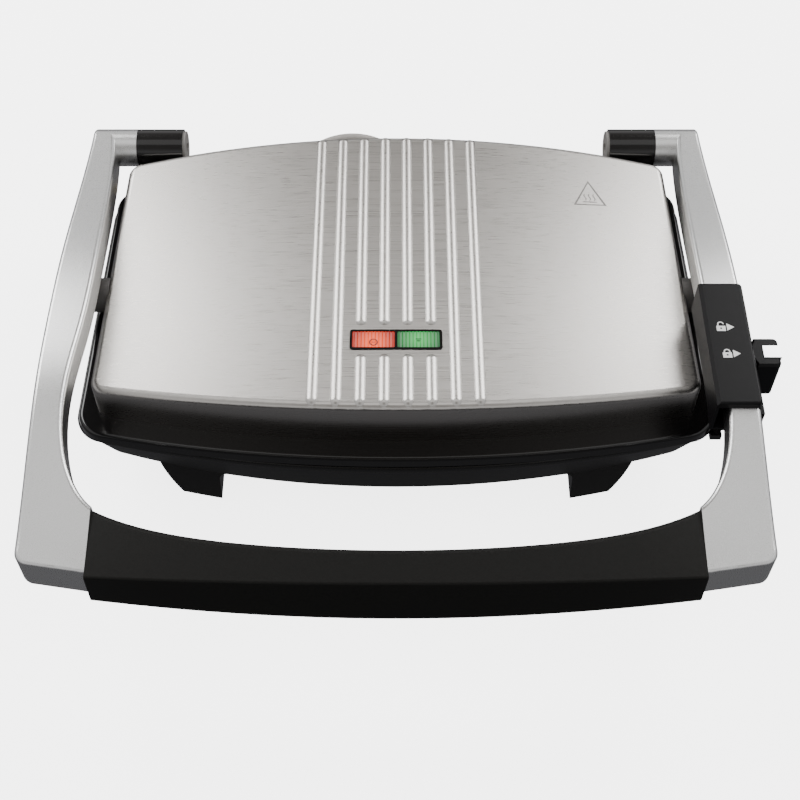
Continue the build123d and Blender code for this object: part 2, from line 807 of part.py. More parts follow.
def upper_plate():
    body = plate(upper_surface, upper_top, upper_lip_bottom, upper_seat_z)
    inside = slab(plate_plan, plate_lip + 3, upper_surface - grill_rib_height,
                  upper_surface + 1)
    count = int((lid_half_rear - 24) / grill_rib_pitch)
    ribs = [block(n * grill_rib_pitch - grill_rib_width / 2,
                  n * grill_rib_pitch + grill_rib_width / 2, -200, 200,
                  upper_surface - grill_rib_height, upper_surface + 0.5)
            for n in range(-count, count + 1)]
    body += [rib & inside for rib in ribs]
    for x, y in saddle_places:
        body += block(x - saddle_half, x + saddle_half, y - saddle_half, y + saddle_half,
                      upper_top - 0.5, upper_element_z)
    for x, y in shield_posts:
        body += rod_z(upper_top - 0.5, upper_shield_z, x, y, shield_post_radius)
        body -= rod_z(upper_shield_z - shield_screw_depth, upper_shield_z + 1, x, y, 2.0)
    for x, y in lid_screw_places:
        body -= rod_z(upper_seat_z - 5.5, upper_seat_z + 1, x, y, 1.55)
    for x, y in bracket_screws_at:
        body -= rod_z(upper_top - 3.4, upper_top + 1, x, y, 2.0)
    return body - element(upper_element_z, element_radius + running_fit)


def pivot_bracket():
    near, far = trunnion_y - bracket_depth / 2, trunnion_y + bracket_depth / 2
    foot = block(bracket_x - 24, bracket_x + bracket_sheet, near, far, upper_top,
                 upper_top + bracket_sheet)
    wall = block(bracket_x, bracket_x + bracket_sheet, near, far, upper_top, trunnion_z + 6.5)
    body = foot + wall
    body -= rod_x(bracket_x - 2, bracket_x + 5, trunnion_y, trunnion_z,
                  trunnion_radius + pin_fit)
    for x, y in bracket_screws_at[:2]:
        body -= rod_z(upper_top - 1, upper_top + 5, x, y, 2.1)
    return body


def trunnion_pin():
    return rod_x(bracket_x - 3, arm_outer - 4, trunnion_y, trunnion_z, trunnion_radius)


def pivot_boss():
    boss = rod_x(boss_inner, lug_inner - boss_gap, trunnion_y, trunnion_z, boss_radius)
    outer_edge = boss.edges().filter_by(GeomType.CIRCLE).sort_by(Axis.X)[-1]
    boss = chamfer(outer_edge, 0.8)
    return boss - rod_x(boss_inner - 1, lug_inner + 1, trunnion_y, trunnion_z,
                        trunnion_radius + pin_fit)


def upper_heat_shield():
    width = 2 * element_half + 12
    sheet = rounded_box(width, 96, upper_shield_z, upper_shield_z + shield_sheet, 10, 0, -6)
    for x, y in shield_posts:
        sheet -= rod_z(upper_shield_z - 1, upper_shield_z + 2, x, y, 2.2)
    return sheet - rod_z(upper_shield_z - 1, upper_shield_z + 2, 0, thermostat_y,
                         thermostat_radius + 2)


def thermostat():
    body = rod_z(upper_top, upper_top + 10, 0, thermostat_y, thermostat_radius)
    body += rod_z(upper_top + 10, upper_top + 13, 0, thermostat_y, 6.0)
    for x in (-8.2, 8.2):
        body += block(x - 3.2, x + 3.2, thermostat_y - 0.4, thermostat_y + 0.4,
                      upper_top + 6, upper_top + 14)
    return body


def thermal_fuse():
    z = upper_top + fuse_radius + 0.2
    body = rod_x(26, 38, thermostat_y, z, fuse_radius)
    return body + rod_x(18, 46, thermostat_y, z, 0.5)


def window_frame():
    flange_top = crown_z(window_width / 2 + window_flange) - lid_sheet - 0.15
    w, d = window_width - 2 * window_fit, window_depth - 2 * window_fit
    body = rounded_box(w, d, board_z, window_top, 1.45, 0, window_y)
    body += rounded_box(w + 2 * window_flange, d + 2 * window_flange, flange_top - 1.6,
                        flange_top, 2.5, 0, window_y)
    half = (w - 3 * window_wall) / 2
    for side in (-1, 1):
        x = side * (half + window_wall) / 2
        body -= rounded_box(half, d - 2 * window_wall, window_top - lens_thickness,
                            window_top + 1, 0.8, x, window_y)
        body -= rounded_box(half - 1.6, d - 2 * window_wall - 1.6, board_z - 1,
                            window_top, 0.6, x, window_y)
    return body


def lens(side):
    w, d = window_width - 2 * window_fit, window_depth - 2 * window_fit
    half = (w - 3 * window_wall) / 2
    return rounded_box(half - 0.1, d - 2 * window_wall - 0.1, window_top - lens_thickness,
                       window_top - 0.15, 0.75, side * (half + window_wall) / 2, window_y)


def lamp(side):
    x = side * window_width / 4
    body = rod_z(board_z, board_z + 4.5, x, window_y, lamp_radius)
    return body + Pos(x, window_y, board_z + 4.5) * Sphere(lamp_radius)


def lamp_board():
    w, d = window_width - 2 * window_fit, window_depth - 2 * window_fit
    return rounded_box(w, d, board_z - 1.6, board_z, 1.0, 0, window_y)


# ---------------------------------------------------------------- mains lead
def on_coil(angle, along=0.0):
    # A point on the outer turn at angle, moved along the turn's tangent
    turn = radians(angle)
    x = coil_x + outer_turn * cos(turn) - along * sin(turn)
    y = coil_y + outer_turn * sin(turn) + along * cos(turn)
    return x, y


def coil_notch(angle, z_low, z_high, along_low, along_high):
    tool = block(coil_radius - turn_gap, outer_turn + 8, along_low, along_high, z_low, z_high)
    return Pos(coil_x, coil_y, 0) * Rot(0, 0, angle) * tool


def cord_coil():
    d = 2 * cord_radius
    ring = Pos(coil_radius, coil_rows * d / 2) * RectangleRounded(2 * d, coil_rows * d, 2.4)
    body = Pos(coil_x, coil_y, 0) * revolve(Plane.XZ * ring, Axis.Z)
    body -= coil_notch(lead_join, d - turn_gap, 3 * d, -40, 0)
    return body - coil_notch(tail_join, -1, d + turn_gap, 0, 40)


def cord_tube(points, label):
    vectors = [Vector(*p) for p in points]
    radii = []
    for before, here, after in zip(vectors, vectors[1:], vectors[2:]):
        turn = (here - before).get_angle(after - here)
        shorter = min((here - before).length, (after - here).length)
        radii.append(0.45 * shorter / tan(radians(turn / 2)))
    print(label, "radii", [round(r, 1) for r in radii])
    route = FilletPolyline(*points, radius=radii)
    tube = sweep(Plane(origin=route @ 0, z_dir=route % 0) * Circle(cord_radius), path=route)
    area = 3.14159 * cord_radius**2
    print(label, "length", round(route.length, 1), "volume ratio",
          round(tube.volume / (area * route.length), 4))
    return tube


lead_points = [
    (lead_x, relief_end, lead_z), (lead_x, 133.8, 31.0), (46.9, 152.1, 22.7),
    (29.7, 161.8, 12.8), (*on_coil(lead_join, -19.9), 3 * cord_radius),
    (*on_coil(lead_join), 3 * cord_radius),
]
tail_points = [
    (*on_coil(tail_join), cord_radius), (*on_coil(tail_join, 27.0), cord_radius),
    (-92.0, 124.6, 3.8), (plug_x, plug_y, plug_z),
]


def plug_body():
    # Its flat back faces the cord, and it lies on its side on the table
    sleeve = Pos(plug_x - 9, plug_y, plug_z) * Rot(0, -90, 0) * Cone(
        cord_radius + 0.7, 6.0, 18)
    grip_part = block(plug_x - 38, plug_x - 17, plug_y - 12.5, plug_y + 12.5, 0, 2 * plug_z)
    grip_part = fillet(grip_part.edges().filter_by(Axis.X), 4.0)
    return sleeve + grip_part


def plug_blades():
    x = plug_x - 38
    solids = [block(x - 16, x, plug_y + s - 0.8, plug_y + s + 0.8, plug_z - 3.2, plug_z + 3.2)
              for s in (-6.35, 6.35)]
    return group([solid.solid() for solid in solids])


# ---------------------------------------------------------------- write every piece
save("support_legs", support_legs())
save("foot_pads", foot_pads())
save("base_tub", base_tub())
save("base_rim", base_rim())
save("base_screws", base_screws())
post, pin, cap = hinge_post(), hinge_pin(), hinge_cap()
for side, turned in (("right", lambda s: s), ("left", mirrored)):
    save(f"hinge_post_{side}", turned(post))
    save(f"hinge_pin_{side}", turned(pin))
    save(f"hinge_cap_{side}", turned(cap))
save("lower_plate", lower_plate())
save("lower_element", element(lower_element_z, element_radius))
save("lower_heat_shield", lower_heat_shield())
save("lower_shield_screws", shield_screws(lower_shield_z - shield_sheet, True))
save("terminal_block", terminal_block())
save("lock_catch", lock_catch())

right_arm = arm()
save("arm_right", right_arm - lock_recess())
save("arm_left", mirrored(right_arm))
save("grip", grip())
save("grip_dowels", grip_dowels())
save("lock_housing", lock_housing())
save("lock_slider", lock_slider())
save("lock_accent", accent_shape())

save("lid_cover", lid_cover())
save("lid_bezel", lid_bezel())
save("upper_plate", upper_plate())
save("upper_element", element(upper_element_z, element_radius))
save("upper_heat_shield", upper_heat_shield())
save("upper_shield_screws", shield_screws(upper_shield_z + shield_sheet, False))
save("lid_screws", group([
    screw(x, y, upper_top, upper_seat_z - 5, 3.0, 1.5, 1.8).solid() for x, y in lid_screw_places
]))
save("bracket_screws", group([
    screw(x, y, upper_top + bracket_sheet, upper_top - 3, 3.4, 1.95, 2.0).solid()
    for x, y in bracket_screws_at
]))
bracket, trunnion, boss = pivot_bracket(), trunnion_pin(), pivot_boss()
for side, turned in (("right", lambda s: s), ("left", mirrored)):
    save(f"pivot_bracket_{side}", turned(bracket))
    save(f"trunnion_pin_{side}", turned(trunnion))
    save(f"pivot_boss_{side}", turned(boss))
save("thermostat", thermostat())
save("thermal_fuse", thermal_fuse())
save("window_frame", window_frame())
save("power_lens", lens(-1))
save("ready_lens", lens(1))
save("power_lamp", lamp(-1))
save("ready_lamp", lamp(1))
save("lamp_board", lamp_board())

save("strain_relief", strain_relief())
save("cord_lead", cord_tube(lead_points, "cord_lead"))
save("cord_coil", cord_coil())
save("cord_tail", cord_tube(tail_points, "cord_tail"))
save("plug_body", plug_body())
save("plug_blades", plug_blades())
print(len(written), "pieces")
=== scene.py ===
import json
import bpy
from math import cos, pi, radians, sin
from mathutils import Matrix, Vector


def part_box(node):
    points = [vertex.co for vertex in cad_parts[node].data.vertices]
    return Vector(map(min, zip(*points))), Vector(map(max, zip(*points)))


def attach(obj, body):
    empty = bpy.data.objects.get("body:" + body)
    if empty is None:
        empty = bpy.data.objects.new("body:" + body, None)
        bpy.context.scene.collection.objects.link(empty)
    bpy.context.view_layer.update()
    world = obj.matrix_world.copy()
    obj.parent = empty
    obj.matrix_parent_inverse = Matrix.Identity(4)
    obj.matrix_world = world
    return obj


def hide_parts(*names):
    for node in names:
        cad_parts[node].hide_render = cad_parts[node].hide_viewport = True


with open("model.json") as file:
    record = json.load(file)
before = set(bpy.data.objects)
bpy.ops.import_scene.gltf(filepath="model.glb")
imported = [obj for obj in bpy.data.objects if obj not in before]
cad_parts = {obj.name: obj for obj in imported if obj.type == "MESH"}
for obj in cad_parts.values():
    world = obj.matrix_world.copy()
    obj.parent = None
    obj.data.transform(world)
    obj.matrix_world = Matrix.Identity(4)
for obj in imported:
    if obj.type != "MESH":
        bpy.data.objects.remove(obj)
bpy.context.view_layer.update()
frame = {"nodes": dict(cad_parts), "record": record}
nodes = frame["nodes"]
print("frame loaded:", len(nodes), "nodes")

# camera: looks down on the grill from the side of the handle
cameraSetup = {
    "place": (0.0, -0.49855, 0.6681),
    "tilt": 35.0,          # degrees from straight down
    "lens": 62.27,
    "shiftX": 0.005,
}


def addCamera(setup):
    data = bpy.data.cameras.new("grillCamera")
    data.lens = setup["lens"]
    data.shift_x = setup["shiftX"]
    data.clip_start = 0.01
    camera = bpy.data.objects.new("grillCamera", data)
    camera.location = setup["place"]
    camera.rotation_euler = (radians(setup["tilt"]), 0, 0)
    bpy.context.scene.collection.objects.link(camera)
    bpy.context.scene.camera = camera


addCamera(cameraSetup)
print("camera in place")


def addObject(name, data, body):
    # links a finished mesh or curve and lets it ride on a body
    piece = bpy.data.objects.new(name, data)
    bpy.context.scene.collection.objects.link(piece)
    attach(piece, body)
    return piece


# mains lead: out of the strain relief, down, round the coil and off to the plug
leadRoute = {
    "radius": 0.0031,
    "lead": [
        (0.0555, 0.114, 0.0335), (0.0555, 0.1338, 0.031), (0.0469, 0.1521, 0.0227),
        (0.0297, 0.1618, 0.0128),
    ],
    "tail": [(-0.092, 0.1246, 0.0038), (-0.112, 0.124, 0.0095)],
    "coilCentre": (-0.029, 0.143),
    "outerTurn": 0.0342,
    "innerTurn": 0.028,
    "joinAngle": 60,        # degrees, anticlockwise from +X
    "leaveAngle": 150,
    "turns": 3,
    "inward": (300, 360),   # degrees past the join: goes inside, drops, comes out again
    "down": (600, 660),
    "outward": (900, 960),
    "runIn": 0.0199,        # straight run ahead of the coil and the one after it
    "runOut": 0.027,
    "widen": 1.006,         # makes up for the smoothed line cutting its corners
    "stepsPerTurn": 24,
    "length": 0.81,
}


def coilPoint(route, angle, radius, height, along=0.0):
    x, y = route["coilCentre"]
    turn = radians(angle)
    return (x + radius * cos(turn) - along * sin(turn),
            y + radius * sin(turn) + along * cos(turn), height)


def easeBetween(value, start, end):
    t = min(max((value - start) / (end - start), 0.0), 1.0)
    return t * t * (3 - 2 * t)


def leadPoints(route):
    outer, inner, r = route["outerTurn"], route["innerTurn"], route["radius"]
    join, leave = route["joinAngle"], route["leaveAngle"] + route["turns"] * 360
    points = list(route["lead"])
    points.append(coilPoint(route, join, outer, 3 * r, -route["runIn"]))
    step = 360 / route["stepsPerTurn"]
    angle = join
    while angle < leave + 0.1:
        # outside above, inside above, inside below, outside below, each change of
        # place lying just before the one that the turn above it makes
        inward = easeBetween(angle - join, *route["inward"])
        down = easeBetween(angle - join, *route["down"])
        outward = easeBetween(angle - join, *route["outward"])
        radius = outer - (outer - inner) * (inward - outward)
        points.append(coilPoint(route, angle, radius * route["widen"], 3 * r - 2 * r * down))
        angle += step
    points.append(coilPoint(route, route["leaveAngle"], outer, r, route["runOut"]))
    return points + route["tail"]


def leadCurve(route, thickness):
    data = bpy.data.curves.new("mainsLead", "CURVE")
    data.dimensions = "3D"
    spline = data.splines.new("NURBS")
    points = leadPoints(route)
    spline.points.add(len(points) - 1)
    for place, point in zip(points, spline.points):
        point.co = (*place, 1.0)
    spline.order_u = 3
    spline.use_endpoint_u = True
    spline.resolution_u = 4
    data.bevel_depth = thickness
    data.bevel_resolution = 5
    data.use_fill_caps = True
    curve = bpy.data.objects.new("mainsLead", data)
    mesh = bpy.data.meshes.new_from_object(curve)
    bpy.data.objects.remove(curve)
    return mesh


def mainsLead(route):
    # the tube as a mesh, and its middle line as a mesh of its own
    middle = leadCurve(route, 0.0)
    tube = leadCurve(route, route["radius"])
    for face in tube.polygons:
        face.use_smooth = True
    lead = addObject("mainsLead", tube, "base")
    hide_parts("cord_lead", "cord_coil", "cord_tail")
    return lead


lead = mainsLead(leadRoute)
print("mains lead laid")


def newFinish(name, look):
    # a Principled shader with the values that are the same all over
    material = bpy.data.materials.new(name)
    material.use_nodes = True
    tree = material.node_tree
    shader = tree.nodes["Principled BSDF"]
    shader.inputs["Base Color"].default_value = (*look["colour"], 1)
    shader.inputs["Metallic"].default_value = look.get("metallic", 0.0)
    shader.inputs["Roughness"].default_value = look["roughness"]
    shader.inputs["Specular IOR Level"].default_value = look.get("specular", 0.5)
    shader.inputs["Coat Weight"].default_value = look.get("coat", 0.0)
    shader.inputs["Coat Roughness"].default_value = look.get("coatRoughness", 0.1)
    shader.inputs["Anisotropic"].default_value = look.get("anisotropic", 0.0)
    shader.inputs["Anisotropic Rotation"].default_value = look.get("turn", 0.0)
    return material, tree, shader


def addNoise(tree, scale, detail=3.0, stretch=(1, 1, 1)):
    # noise in the object's own metres; scale is in features per metre
    place = tree.nodes.new("ShaderNodeTexCoord")
    mapping = tree.nodes.new("ShaderNodeMapping")
    mapping.inputs["Scale"].default_value = stretch
    noise = tree.nodes.new("ShaderNodeTexNoise")
    noise.inputs["Scale"].default_value = scale
    noise.inputs["Detail"].default_value = detail
    tree.links.new(place.outputs["Object"], mapping.inputs["Vector"])
    tree.links.new(mapping.outputs["Vector"], noise.inputs["Vector"])
    return noise.outputs["Fac"]


noiseReach = (0.3, 0.7)     # nearly all of the noise lies between these


def spreadOf(tree, factor, low, high):
    node = tree.nodes.new("ShaderNodeMapRange")
    node.inputs["From Min"].default_value = noiseReach[0]
    node.inputs["From Max"].default_value = noiseReach[1]
    node.inputs["To Min"].default_value = low
    node.inputs["To Max"].default_value = high
    tree.links.new(factor, node.inputs["Value"])
    return node.outputs["Result"]


def tintBetween(tree, factor, dark, light):
    ramp = tree.nodes.new("ShaderNodeValToRGB")
    ramp.color_ramp.elements[0].position = noiseReach[0]
    ramp.color_ramp.elements[0].color = (*dark, 1)
    ramp.color_ramp.elements[1].position = noiseReach[1]
    ramp.color_ramp.elements[1].color = (*light, 1)
    tree.links.new(factor, ramp.inputs["Fac"])
    return ramp.outputs["Color"]


def raiseBy(tree, shader, factor, depth):
    bump = tree.nodes.new("ShaderNodeBump")
    bump.inputs["Distance"].default_value = depth
    bump.inputs["Strength"].default_value = 1.0
    tree.links.new(factor, bump.inputs["Height"])
    tree.links.new(bump.outputs["Normal"], shader.inputs["Normal"])


def scaled(colour, share):
    return tuple(channel * share for channel in colour)


lidSteel = {
    "colour": (0.50, 0.482, 0.46), "metallic": 1.0, "roughness": 0.3,
    "lines": (9, 2600, 2600),       # how fine the brush lines are along X, Y and Z
    "lineDepth": 0.0000012, "lineTint": 0.045, "roughSpread": 0.04,
    "anisotropic": 0.6, "turn": 0.25,
}


def brushedSteel(name, look):
    material, tree, shader = newFinish(name, look)
    lines = addNoise(tree, 1.0, detail=4.0, stretch=look["lines"])
    tint = tintBetween(tree, lines, scaled(look["colour"], 1 - look["lineTint"]),
                       scaled(look["colour"], 1 + look["lineTint"]))
    tree.links.new(tint, shader.inputs["Base Color"])
    rough = spreadOf(tree, lines, look["roughness"] - look["roughSpread"],
                     look["roughness"] + look["roughSpread"])
    tree.links.new(rough, shader.inputs["Roughness"])
    raiseBy(tree, shader, lines, look["lineDepth"])
    if look["anisotropic"]:
        tangent = tree.nodes.new("ShaderNodeTangent")
        tangent.direction_type = "RADIAL"
        tangent.axis = "X"
        tree.links.new(tangent.outputs["Tangent"], shader.inputs["Tangent"])
    return material


armSilver = {
    "colour": (0.66, 0.66, 0.655), "metallic": 1.0, "roughness": 0.3,
    "grain": 2600, "grainDepth": 0.0000025, "grainTint": 0.04, "roughSpread": 0.05,
}


def grainedFinish(name, look):
    # fine cast, moulded or painted grain
    material, tree, shader = newFinish(name, look)
    grain = addNoise(tree, look["grain"])
    tint = tintBetween(tree, grain, scaled(look["colour"], 1 - look["grainTint"]),
                       scaled(look["colour"], 1 + look["grainTint"]))
    tree.links.new(tint, shader.inputs["Base Color"])
    rough = spreadOf(tree, grain, look["roughness"] - look["roughSpread"],
                     look["roughness"] + look["roughSpread"])
    tree.links.new(rough, shader.inputs["Roughness"])
    raiseBy(tree, shader, grain, look["grainDepth"])
    return material


glossBlack = {
    "colour": (0.006, 0.0055, 0.0055), "roughness": 0.12, "specular": 0.4,
    "grain": 900, "grainDepth": 0.000002, "grainTint": 0.2, "roughSpread": 0.03,
    "coat": 0.1, "coatRoughness": 0.05,
}
tubBlack = {
    "colour": (0.011, 0.0105, 0.010), "roughness": 0.4, "specular": 0.3,
    "grain": 2200, "grainDepth": 0.00003, "grainTint": 0.25, "roughSpread": 0.08,
}
housingBlack = {
    "colour": (0.0045, 0.0043, 0.0048), "roughness": 0.36, "specular": 0.13,
    "grain": 2400, "grainDepth": 0.000008, "grainTint": 0.2, "roughSpread": 0.06,
}
gripBlack = {
    "colour": (0.0055, 0.0052, 0.0045), "roughness": 0.46, "specular": 0.16,
    "grain": 1700, "grainDepth": 0.00003, "grainTint": 0.3, "roughSpread": 0.1,
}
padRubber = {
    "colour": (0.03, 0.03, 0.03), "roughness": 0.8,
    "grain": 1500, "grainDepth": 0.00004, "grainTint": 0.3, "roughSpread": 0.1,
}
nonStick = {
    "colour": (0.03, 0.03, 0.031), "roughness": 0.38, "metallic": 0.2,
    "grain": 1800, "grainDepth": 0.00002, "grainTint": 0.25, "roughSpread": 0.08,
}
bossGrey = {
    "colour": (0.075, 0.07, 0.067), "roughness": 0.35,
    "grain": 2000, "grainDepth": 0.00001, "grainTint": 0.2, "roughSpread": 0.06,
}
capGrey = {
    "colour": (0.22, 0.21, 0.2), "roughness": 0.4,
    "grain": 2000, "grainDepth": 0.00001, "grainTint": 0.15, "roughSpread": 0.06,
}
cordGrey = {
    "colour": (0.36, 0.34, 0.32), "roughness": 0.42,
    "grain": 900, "grainDepth": 0.00002, "grainTint": 0.12, "roughSpread": 0.08,
}
turnedSteel = {
    "colour": (0.55, 0.54, 0.52), "metallic": 1.0, "roughness": 0.28,
    "grain": 3000, "grainDepth": 0.000003, "grainTint": 0.08, "roughSpread": 0.06,
}
sheetSteel = {
    "colour": (0.5, 0.5, 0.49), "metallic": 1.0, "roughness": 0.36,
    "lines": (900, 20, 900), "lineDepth": 0.000003, "lineTint": 0.1, "roughSpread": 0.06,
    "anisotropic": 0.0,
}
elementSteel = {
    "colour": (0.16, 0.14, 0.125), "metallic": 0.9, "roughness": 0.5,
    "grain": 700, "grainDepth": 0.00002, "grainTint": 0.35, "roughSpread": 0.12,
}
knobChrome = {
    "colour": (0.8, 0.8, 0.82), "metallic": 1.0, "roughness": 0.12,
    "grain": 2000, "grainDepth": 0.000001, "grainTint": 0.03, "roughSpread": 0.03,
}
ceramicWhite = {
    "colour": (0.7, 0.68, 0.62), "roughness": 0.35,
    "grain": 900, "grainDepth": 0.00001, "grainTint": 0.06, "roughSpread": 0.05,
}
boardGreen = {
    "colour": (0.03, 0.12, 0.05), "roughness": 0.45,
    "grain": 900, "grainDepth": 0.00001, "grainTint": 0.2, "roughSpread": 0.05,
}
bladeBrass = {
    "colour": (0.62, 0.47, 0.22), "metallic": 1.0, "roughness": 0.25,
    "grain": 2500, "grainDepth": 0.000002, "grainTint": 0.06, "roughSpread": 0.05,
}
finishes = {
    "lid_steel": brushedSteel("lidSteel", lidSteel),
    "arm_silver": grainedFinish("armSilver", armSilver),
    "knob_chrome": grainedFinish("knobChrome", knobChrome),
    "gloss_black": grainedFinish("glossBlack", glossBlack),
    "satin_black": grainedFinish("tubBlack", tubBlack),
    "housing_black": grainedFinish("housingBlack", housingBlack),
    "grip_black": grainedFinish("gripBlack", gripBlack),
    "pad_rubber": grainedFinish("padRubber", padRubber),
    "nonstick": grainedFinish("nonStick", nonStick),
    "element_steel": grainedFinish("elementSteel", elementSteel),
    "sheet_steel": brushedSteel("sheetSteel", sheetSteel),
    "pin_steel": grainedFinish("turnedSteel", turnedSteel),
    "boss_grey": grainedFinish("bossGrey", bossGrey),
    "cap_grey": grainedFinish("capGrey", capGrey),
    "window_dark": grainedFinish("windowDark", dict(glossBlack, roughness=0.2)),
    "board_green": grainedFinish("boardGreen", boardGreen),
    "ceramic_white": grainedFinish("ceramicWhite", ceramicWhite),
    "cord_grey": grainedFinish("cordGrey", cordGrey),
    "plug_grey": grainedFinish("plugGrey", dict(cordGrey, colour=(0.3, 0.285, 0.265))),
    "blade_brass": grainedFinish("bladeBrass", bladeBrass),
}
lampLooks = {
    "red": {"glow": (1.0, 0.12, 0.02), "unlitShare": 0.5, "roughness": 0.3, "strength": 2.0},
    "green": {"glow": (0.1, 0.9, 0.25), "unlitShare": 0.5, "roughness": 0.3, "strength": 1.5},
}


def lampFinish(name, look):
    material, _, shader = newFinish(name, {"colour": scaled(look["glow"], look["unlitShare"]),
                                           "roughness": look["roughness"]})
    shader.inputs["Emission Color"].default_value = (*look["glow"], 1)
    shader.inputs["Emission Strength"].default_value = look["strength"]
    return material


finishes["lamp_red"] = lampFinish("lampRed", lampLooks["red"])
finishes["lamp_green"] = lampFinish("lampGreen", lampLooks["green"])

lensGloss = {"unlitShare": 0.3, "roughness": 0.14, "specular": 0.2}
lensLooks = {
    # centre is where the lamp stands under the lens, reach how far its light spreads
    "red": {"glow": (1.0, 0.09, 0.004), "rim": (0.22, 0.008, 0.002), "strength": 2.2,
            "centre": (-0.012, -0.056, 0.0882), "reach": 0.011},
    "green": {"glow": (0.05, 0.75, 0.13), "rim": (0.004, 0.09, 0.02), "strength": 1.0,
              "centre": (0.012, -0.053, 0.0882), "reach": 0.012},
}


def lensFinish(name, look):
    # the glow is brightest over the lamp and falls off to the lens's edge
    unlit = scaled(look["rim"], lensGloss["unlitShare"])
    material, tree, shader = newFinish(name, dict(lensGloss, colour=unlit))
    place = tree.nodes.new("ShaderNodeTexCoord")
    away = tree.nodes.new("ShaderNodeVectorMath")
    away.operation = "DISTANCE"
    away.inputs[1].default_value = look["centre"]
    tree.links.new(place.outputs["Object"], away.inputs[0])
    fade = tree.nodes.new("ShaderNodeMapRange")
    fade.inputs["From Max"].default_value = look["reach"]
    tree.links.new(away.outputs["Value"], fade.inputs["Value"])
    ramp = tree.nodes.new("ShaderNodeValToRGB")
    ramp.color_ramp.elements[0].color = (*look["glow"], 1)
    ramp.color_ramp.elements[1].color = (*look["rim"], 1)
    tree.links.new(fade.outputs["Result"], ramp.inputs["Fac"])
    tree.links.new(ramp.outputs["Color"], shader.inputs["Emission Color"])
    shader.inputs["Emission Strength"].default_value = look["strength"]
    return material


finishes["lens_red"] = lensFinish("lensRed", lensLooks["red"])
finishes["lens_green"] = lensFinish("lensGreen", lensLooks["green"])


def paintNodes():
    for part in frame["record"]["subparts"]:
        piece = nodes[part["node"]]
        piece.data.materials.clear()
        piece.data.materials.append(finishes[part["material_slot"]])


paintNodes()
lead.data.materials.append(finishes["cord_grey"])
print("finishes on")

printLook = {
    "colour": (0.78, 0.78, 0.77), "roughness": 0.5,
    "grain": 2500, "grainDepth": 0.000002, "grainTint": 0.05, "roughSpread": 0.05,
}
markWhite = grainedFinish("markWhite", printLook)
markDark = grainedFinish("markDark", dict(printLook, colour=(0.02, 0.02, 0.022)))
markGrey = grainedFinish("markGrey", dict(printLook, colour=(0.2, 0.19, 0.18), roughness=0.4))


def arcPoints(x, y, radius, start, end, steps=12):
    turns = [radians(start + (end - start) * step / steps) for step in range(steps + 1)]
    return [(x + radius * cos(turn), y + radius * sin(turn)) for turn in turns]


def ringLoops(x, y, outer, inner):
    return [arcPoints(x, y, outer, 0, 345, 23), arcPoints(x, y, inner, 0, 345, 23)]


def barLoop(x, y, width, depth):
    return [(x - width / 2, y - depth / 2), (x + width / 2, y - depth / 2),
            (x + width / 2, y + depth / 2), (x - width / 2, y + depth / 2)]


def flatMark(loops, thickness):
    # closed outlines in millimetres, filled where they don't lie inside another
    data = bpy.data.curves.new("flatMark", "CURVE")
    data.dimensions = "2D"
    data.fill_mode = "BOTH"
    data.extrude = thickness / 2
    for loop in loops:
        spline = data.splines.new("POLY")
        spline.points.add(len(loop) - 1)
        for (x, y), point in zip(loop, spline.points):
            point.co = (x / 1000, y / 1000, 0, 1)
        spline.use_cyclic_u = True
    outlineCurve = bpy.data.objects.new("flatMark", data)
    mesh = bpy.data.meshes.new_from_object(outlineCurve)
    bpy.data.objects.remove(outlineCurve)
    return mesh


markThickness = 0.00006
rayStart = 0.2              # metres up, clear of the lid


def addMark(name, loops, place, body, finish, onto=None):
    # a mark lies at the height of its place, or on the surface found under each of its points
    mesh = flatMark(loops, markThickness)
    mesh.name = name
    for vertex in mesh.vertices:
        vertex.co.x += place[0]
        vertex.co.y += place[1]
        top = place[2]
        if onto:
            above = Vector((vertex.co.x, vertex.co.y, rayStart))
            hit = onto.ray_cast(above, Vector((0, 0, -1)))
            top = hit[1].z if hit[0] else top
        vertex.co.z += top + markThickness / 2
    mesh.materials.append(finish)
    return addObject(name, mesh, body)


lockMarks = {
    # place of each padlock's middle in metres, and how far its shackle is open in mm
    "openMark": {"place": (0.1665, -0.0612), "open": 1.2},
    "shutMark": {"place": (0.1675, -0.0782), "open": 0.0},
}


padlock = {
    # millimetres from the padlock's middle; a bar is its x, y, width and depth
    "body": (0, -0.9, 4.6, 3.3),
    "keyholeY": -0.8, "keyholeRadius": 0.55,
    "shackleFoot": 0.7, "shackleY": 1.2, "shackleOuter": 1.7, "shackleInner": 1.1,
    "arrow": [(-1.8, -2.3), (2.0, 0), (-1.8, 2.3)],
    "arrowOffset": 0.0048,      # metres
}


def padlockLoops(look, opening):
    body = barLoop(*look["body"])
    keyhole = arcPoints(0, look["keyholeY"], look["keyholeRadius"], 345, 0, 15)
    outer, inner = look["shackleOuter"], look["shackleInner"]
    left, right = look["shackleFoot"], look["shackleFoot"] + opening
    middle = look["shackleY"] + opening / 2
    shackle = [(-outer, left)] + arcPoints(0, middle, outer, 180, 0) + [(outer, right)]
    shackle += [(inner, right)] + arcPoints(0, middle, inner, 0, 180) + [(-inner, left)]
    return [body, keyhole, shackle]


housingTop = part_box("lock_housing")[1][2]
for markName, mark in lockMarks.items():
    markX, markY = mark["place"]
    addMark(markName, padlockLoops(padlock, mark["open"]), (markX, markY, housingTop),
            "handle", markWhite)
    addMark(markName + "Arrow", [padlock["arrow"]],
            (markX + padlock["arrowOffset"], markY, housingTop), "handle", markWhite)
print("lock symbols on")

